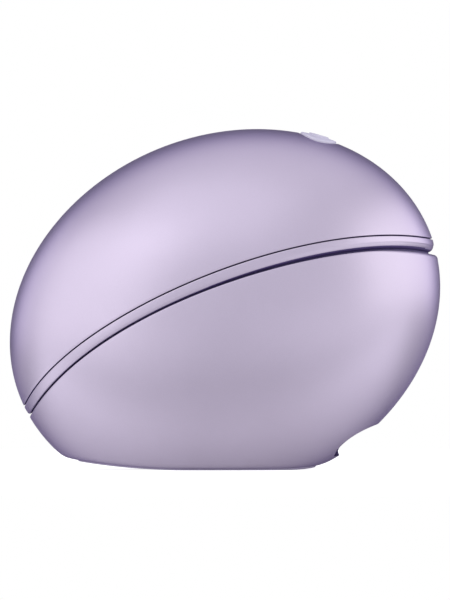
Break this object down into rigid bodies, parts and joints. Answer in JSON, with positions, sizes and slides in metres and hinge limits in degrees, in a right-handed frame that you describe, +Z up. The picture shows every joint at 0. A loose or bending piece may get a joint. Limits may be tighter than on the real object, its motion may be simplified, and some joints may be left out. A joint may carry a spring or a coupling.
{
  "type": "epilator",
  "caption": "Egg-shaped pulsed-light hair-removal hand piece on a flat treatment window, with a top button, a trim band and a rear power inlet.",
  "frame": {"origin": "middle of the footprint box, on the surface the hand piece stands on", "axes": "+X to the rear where the power inlet is, +Y across the hand piece, +Z up away from the treatment face"},
  "size_m": [0.0948, 0.0598, 0.0752],
  "materials": {
    "lilac_shell": "satin metallic lilac paint on moulded plastic",
    "button_silicone": "soft matte silicone, pale lilac grey",
    "treatment_bezel": "satin metallised plastic",
    "window_glass": "polished filter glass, pale amber",
    "lamp_quartz": "clear quartz",
    "reflector": "polished",
    "heat_sink": "bare extruded",
    "gasket_rubber": "soft matte",
    "black_plastic": "fine matte",
    "white_plastic": "matte heat-resistant",
    "circuit_board": "green solder mask",
    "capacitor_sleeve": "shrink sleeve",
    "ferrite": "dull ferrite with tape",
    "brass": "bare",
    "steel": "zinc plated",
    "lead_insulation": "silicone insulation"
  },
  "bodies": {
    "casing": {"tact_switch": "black_plastic", "button_board": "circuit_board", "button_screw_1": "steel", "button_screw_2": "steel", "upper_shell": "lilac_shell", "trim_band": "lilac_shell", "lower_shell": "lilac_shell", "chassis": "black_plastic", "main_board": "circuit_board", "flash_capacitor": "capacitor_sleeve", "charging_transformer": "ferrite", "trigger_coil": "ferrite", "flash_switch": "black_plastic", "control_chip": "black_plastic", "clamp_screw_1": "steel", "clamp_screw_2": "steel", "clamp_screw_3": "steel", "clamp_screw_4": "steel", "board_screw_1": "steel", "board_screw_2": "steel", "board_screw_3": "steel", "board_screw_4": "steel", "treatment_bezel": "treatment_bezel", "window_glass": "window_glass", "window_gasket": "gasket_rubber", "reflector": "reflector", "lamp_housing": "white_plastic", "flash_lamp": "lamp_quartz", "lamp_anode": "steel", "lamp_cathode": "steel", "lamp_holder_rear": "white_plastic", "lamp_holder_front": "white_plastic", "heat_sink": "heat_sink", "thermal_cutout": "steel", "fan_frame": "black_plastic", "fan_bearing": "brass", "fan_stator": "brass", "skin_tone_sensor": "black_plastic", "sensor_board": "circuit_board", "case_screw_1": "steel", "case_screw_2": "steel", "case_screw_3": "steel", "case_screw_4": "steel", "fan_screw_1": "steel", "fan_screw_2": "steel", "fan_screw_3": "steel", "fan_screw_4": "steel", "power_inlet": "black_plastic", "inlet_pin": "brass", "power_lead": "lead_insulation", "anode_lead": "lead_insulation", "cathode_lead": "lead_insulation"},
    "button": {"button_cap": "button_silicone", "switch_plunger": "white_plastic"},
    "fan": {"fan_rotor": "black_plastic", "fan_shaft": "steel"}
  },
  "joints": [
    {"name": "button_press", "type": "slide", "parent": "casing", "child": "button", "axis": [-0.2724, 0, -0.9622], "range_m": [0, 0.0006], "stiffness_N_per_m": 3000, "springref_m": -0.0003},
    {"name": "fan_spin", "type": "hinge", "parent": "casing", "child": "fan", "pos_m": [-0.0062, 0, 0.022], "axis": [0, 0, 1], "continuous": true}
  ]
}
